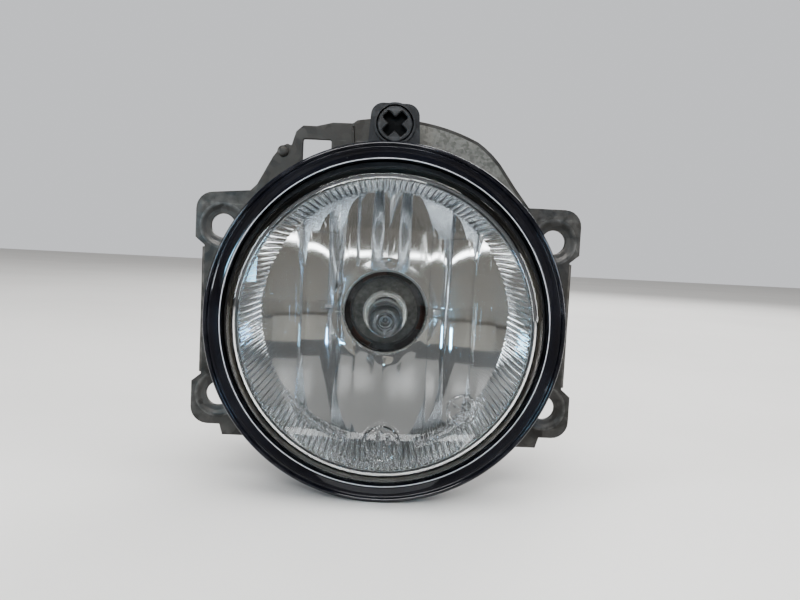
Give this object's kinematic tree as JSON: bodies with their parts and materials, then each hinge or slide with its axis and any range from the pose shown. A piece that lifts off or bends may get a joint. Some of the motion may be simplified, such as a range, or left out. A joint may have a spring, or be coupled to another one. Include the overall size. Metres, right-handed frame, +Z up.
{
  "type": "fog light",
  "caption": "Round front fog light with a clear glass lens, fluted mirror, halogen bulb, aiming screw and a stamped steel bracket with holed ears.",
  "frame": {"origin": "middle of the four bracket holes, on the front face of their seats", "axes": "+X across the lamp, +Y backwards along the lamp's axis, +Z up; the lamp shines towards -Y"},
  "size_m": [0.125, 0.0907, 0.1222],
  "materials": {
    "bracket_steel": "galvanised sheet, dull and speckled",
    "pin_steel": "turned steel, zinc plated",
    "nut_plastic": "natural nylon",
    "housing_plastic": "matt black moulding",
    "ring_gloss": "gloss black",
    "screw_steel": "zinc plated",
    "lens_glass": "clear pressed glass",
    "seal_rubber": "black gasket",
    "fluted_mirror": "aluminised, fluted",
    "reflector_mirror": "aluminised, in upright strips",
    "vent_rubber": "soft black rubber",
    "filter_felt": "white filter felt",
    "bush_plastic": "natural acetal",
    "adjuster_plastic": "matt black glass-filled nylon",
    "clip_steel": "spring steel",
    "bulb_quartz": "clear quartz",
    "tungsten": "dull tungsten",
    "lead_wire": "molybdenum wire",
    "collar_steel": "bright pressed steel",
    "plate_steel": "pressed steel",
    "base_plastic": "matt black heat-proof moulding",
    "oring_silicone": "red-brown silicone",
    "terminal_brass": "tinned brass"
  },
  "bodies": {
    "carrier": {"bracket": "bracket_steel", "pivot_pin_left": "pin_steel", "pivot_pin_right": "pin_steel", "adjuster_nut": "nut_plastic"},
    "lamp": {"housing": "housing_plastic", "bezel_ring": "ring_gloss", "bezel_screws": "screw_steel", "lens": "lens_glass", "lens_seal": "seal_rubber", "fluted_ring": "fluted_mirror", "reflector": "reflector_mirror", "vent_cap": "vent_rubber", "vent_filter": "filter_felt", "pivot_bush_left": "bush_plastic", "pivot_bush_right": "bush_plastic"},
    "aiming_screw": {"adjuster_screw": "adjuster_plastic", "adjuster_clip": "clip_steel"},
    "bulb": {"bulb_glass": "bulb_quartz", "bulb_filament": "tungsten", "bulb_supports": "lead_wire", "bulb_collar": "collar_steel", "bulb_plate": "plate_steel", "bulb_base": "base_plastic", "bulb_oring": "oring_silicone", "bulb_terminals": "terminal_brass"}
  },
  "joints": [
    {"name": "aim_tilt", "type": "hinge", "parent": "carrier", "child": "lamp", "pos_m": [0, 0.009, 0], "axis": [1, 0, 0], "range_deg": [-2.5, 2.5]},
    {"name": "adjuster_spin", "type": "hinge", "parent": "lamp", "child": "aiming_screw", "pos_m": [0, -0.007, 0.061], "axis": [0, 1, 0], "range_deg": [-485, 485]},
    {"name": "bulb_twist", "type": "hinge", "parent": "lamp", "child": "bulb", "pos_m": [0, 0.035, 0], "axis": [0, 1, 0], "range_deg": [0, 40]}
  ],
  "couplings": [
    {"joint": "adjuster_spin", "follows": "aim_tilt", "ratio": -191.6}
  ]
}
